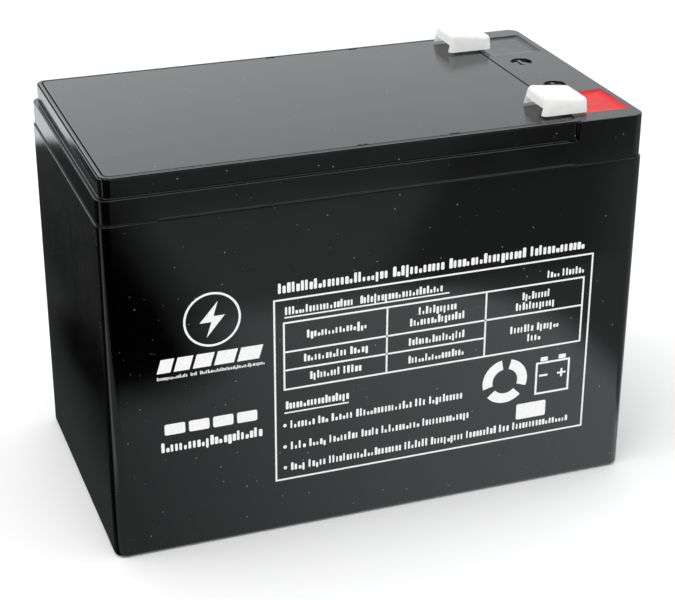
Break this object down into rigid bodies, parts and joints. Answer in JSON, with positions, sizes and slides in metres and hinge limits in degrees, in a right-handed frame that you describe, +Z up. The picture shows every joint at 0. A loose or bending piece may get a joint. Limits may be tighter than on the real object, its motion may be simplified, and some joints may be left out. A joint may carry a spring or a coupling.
{
  "type": "motorcycle battery",
  "caption": "Sealed lead-acid motorcycle battery: rectangular case with stepped lid, flat top cover and two bent blade terminals under clear protective caps.",
  "frame": {"origin": "centre of the base, on the surface the battery stands on", "axes": "+X along the length towards the terminals, -Y out of the large printed face, +Z up"},
  "size_m": [0.151, 0.084, 0.1144],
  "materials": {
    "case_plastic": "injection-moulded black ABS, glossy with fine scuffs and dust",
    "lid_plastic": "injection-moulded black ABS, glossy",
    "cover_plastic": "injection-moulded black ABS plate, satin gloss",
    "seam_glue": "black epoxy glue with an uneven squeezed-out bead",
    "label_ink": "white silk-screen ink",
    "cap_plastic": "translucent milky polyethylene",
    "red_resin": "poured red epoxy with a soft meniscus",
    "black_resin": "poured black epoxy with a soft meniscus",
    "tinned_brass": "tin-plated brass, fine stamping lines",
    "lead": "cast lead alloy, dull grey with an oxide bloom",
    "positive_paste": "cured lead dioxide paste on a cast grid",
    "negative_paste": "spongy lead paste on a cast grid",
    "glass_mat": "absorbent glass-fibre mat, wet with electrolyte",
    "valve_rubber": "soft black rubber with a light powder bloom"
  },
  "bodies": {
    "case": {"container": "case_plastic", "lid": "lid_plastic", "lid_sealant": "seam_glue", "top_cover": "cover_plastic", "positive_plates_1": "positive_paste", "positive_plates_2": "positive_paste", "positive_plates_3": "positive_paste", "positive_plates_4": "positive_paste", "positive_plates_5": "positive_paste", "positive_plates_6": "positive_paste", "negative_plates_1": "negative_paste", "negative_plates_2": "negative_paste", "negative_plates_3": "negative_paste", "negative_plates_4": "negative_paste", "negative_plates_5": "negative_paste", "negative_plates_6": "negative_paste", "separators_1": "glass_mat", "separators_2": "glass_mat", "separators_3": "glass_mat", "separators_4": "glass_mat", "separators_5": "glass_mat", "separators_6": "glass_mat", "positive_strap_1": "lead", "positive_strap_2": "lead", "positive_strap_3": "lead", "positive_strap_4": "lead", "positive_strap_5": "lead", "positive_strap_6": "lead", "negative_strap_1": "lead", "negative_strap_2": "lead", "negative_strap_3": "lead", "negative_strap_4": "lead", "negative_strap_5": "lead", "negative_strap_6": "lead", "cell_connector_1": "lead", "cell_connector_2": "lead", "cell_connector_3": "lead", "cell_connector_4": "lead", "cell_connector_5": "lead", "positive_post": "lead", "negative_post": "lead", "positive_tab": "tinned_brass", "negative_tab": "tinned_brass", "positive_seal": "red_resin", "negative_seal": "black_resin"},
    "positive_cap": {"positive_cap": "cap_plastic"},
    "negative_cap": {"negative_cap": "cap_plastic"},
    "valve_1": {"vent_valve_1": "valve_rubber"},
    "valve_2": {"vent_valve_2": "valve_rubber"},
    "valve_3": {"vent_valve_3": "valve_rubber"},
    "valve_4": {"vent_valve_4": "valve_rubber"},
    "valve_5": {"vent_valve_5": "valve_rubber"},
    "valve_6": {"vent_valve_6": "valve_rubber"}
  },
  "joints": [
    {"name": "positive_cap_lift", "type": "slide", "parent": "case", "child": "positive_cap", "axis": [0, 0, 1], "range_m": [0, 0.015]},
    {"name": "negative_cap_lift", "type": "slide", "parent": "case", "child": "negative_cap", "axis": [0, 0, 1], "range_m": [0, 0.015]},
    {"name": "valve_1_lift", "type": "slide", "parent": "case", "child": "valve_1", "axis": [0, 0, 1], "range_m": [0, 0.0005], "stiffness_N_per_m": 400},
    {"name": "valve_2_lift", "type": "slide", "parent": "case", "child": "valve_2", "axis": [0, 0, 1], "range_m": [0, 0.0005], "stiffness_N_per_m": 400},
    {"name": "valve_3_lift", "type": "slide", "parent": "case", "child": "valve_3", "axis": [0, 0, 1], "range_m": [0, 0.0005], "stiffness_N_per_m": 400},
    {"name": "valve_4_lift", "type": "slide", "parent": "case", "child": "valve_4", "axis": [0, 0, 1], "range_m": [0, 0.0005], "stiffness_N_per_m": 400},
    {"name": "valve_5_lift", "type": "slide", "parent": "case", "child": "valve_5", "axis": [0, 0, 1], "range_m": [0, 0.0005], "stiffness_N_per_m": 400},
    {"name": "valve_6_lift", "type": "slide", "parent": "case", "child": "valve_6", "axis": [0, 0, 1], "range_m": [0, 0.0005], "stiffness_N_per_m": 400}
  ]
}
